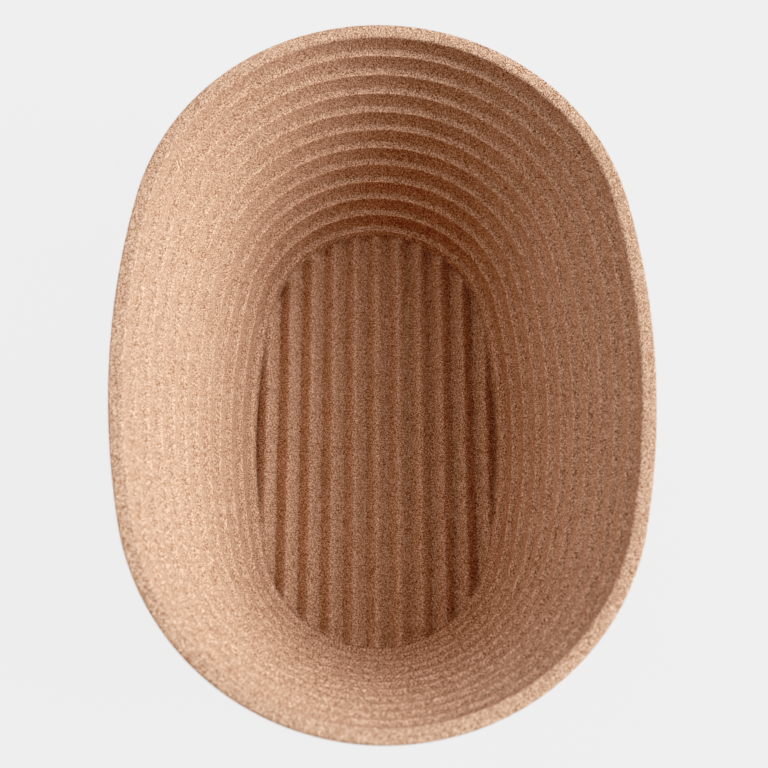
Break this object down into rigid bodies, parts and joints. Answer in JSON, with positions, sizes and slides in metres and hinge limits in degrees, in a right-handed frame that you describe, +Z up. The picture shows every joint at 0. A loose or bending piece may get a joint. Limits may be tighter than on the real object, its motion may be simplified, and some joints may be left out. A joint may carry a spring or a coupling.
{
  "type": "banneton basket",
  "caption": "Oval proofing basket moulded in one piece from wood pulp, with stepped rings inside a flared wall, a flat rim and straight flutes in the floor.",
  "frame": {"origin": "centre of the flat underside", "axes": "+Z up towards the open rim, +Y along the basket's length and the floor flutes, +X across its width"},
  "size_m": [0.2, 0.2804, 0.0993],
  "materials": {
    "pulp": "matte, fine-grained moulded wood pulp"
  },
  "bodies": {
    "root": {"basket_shell": "pulp"}
  },
  "joints": []
}
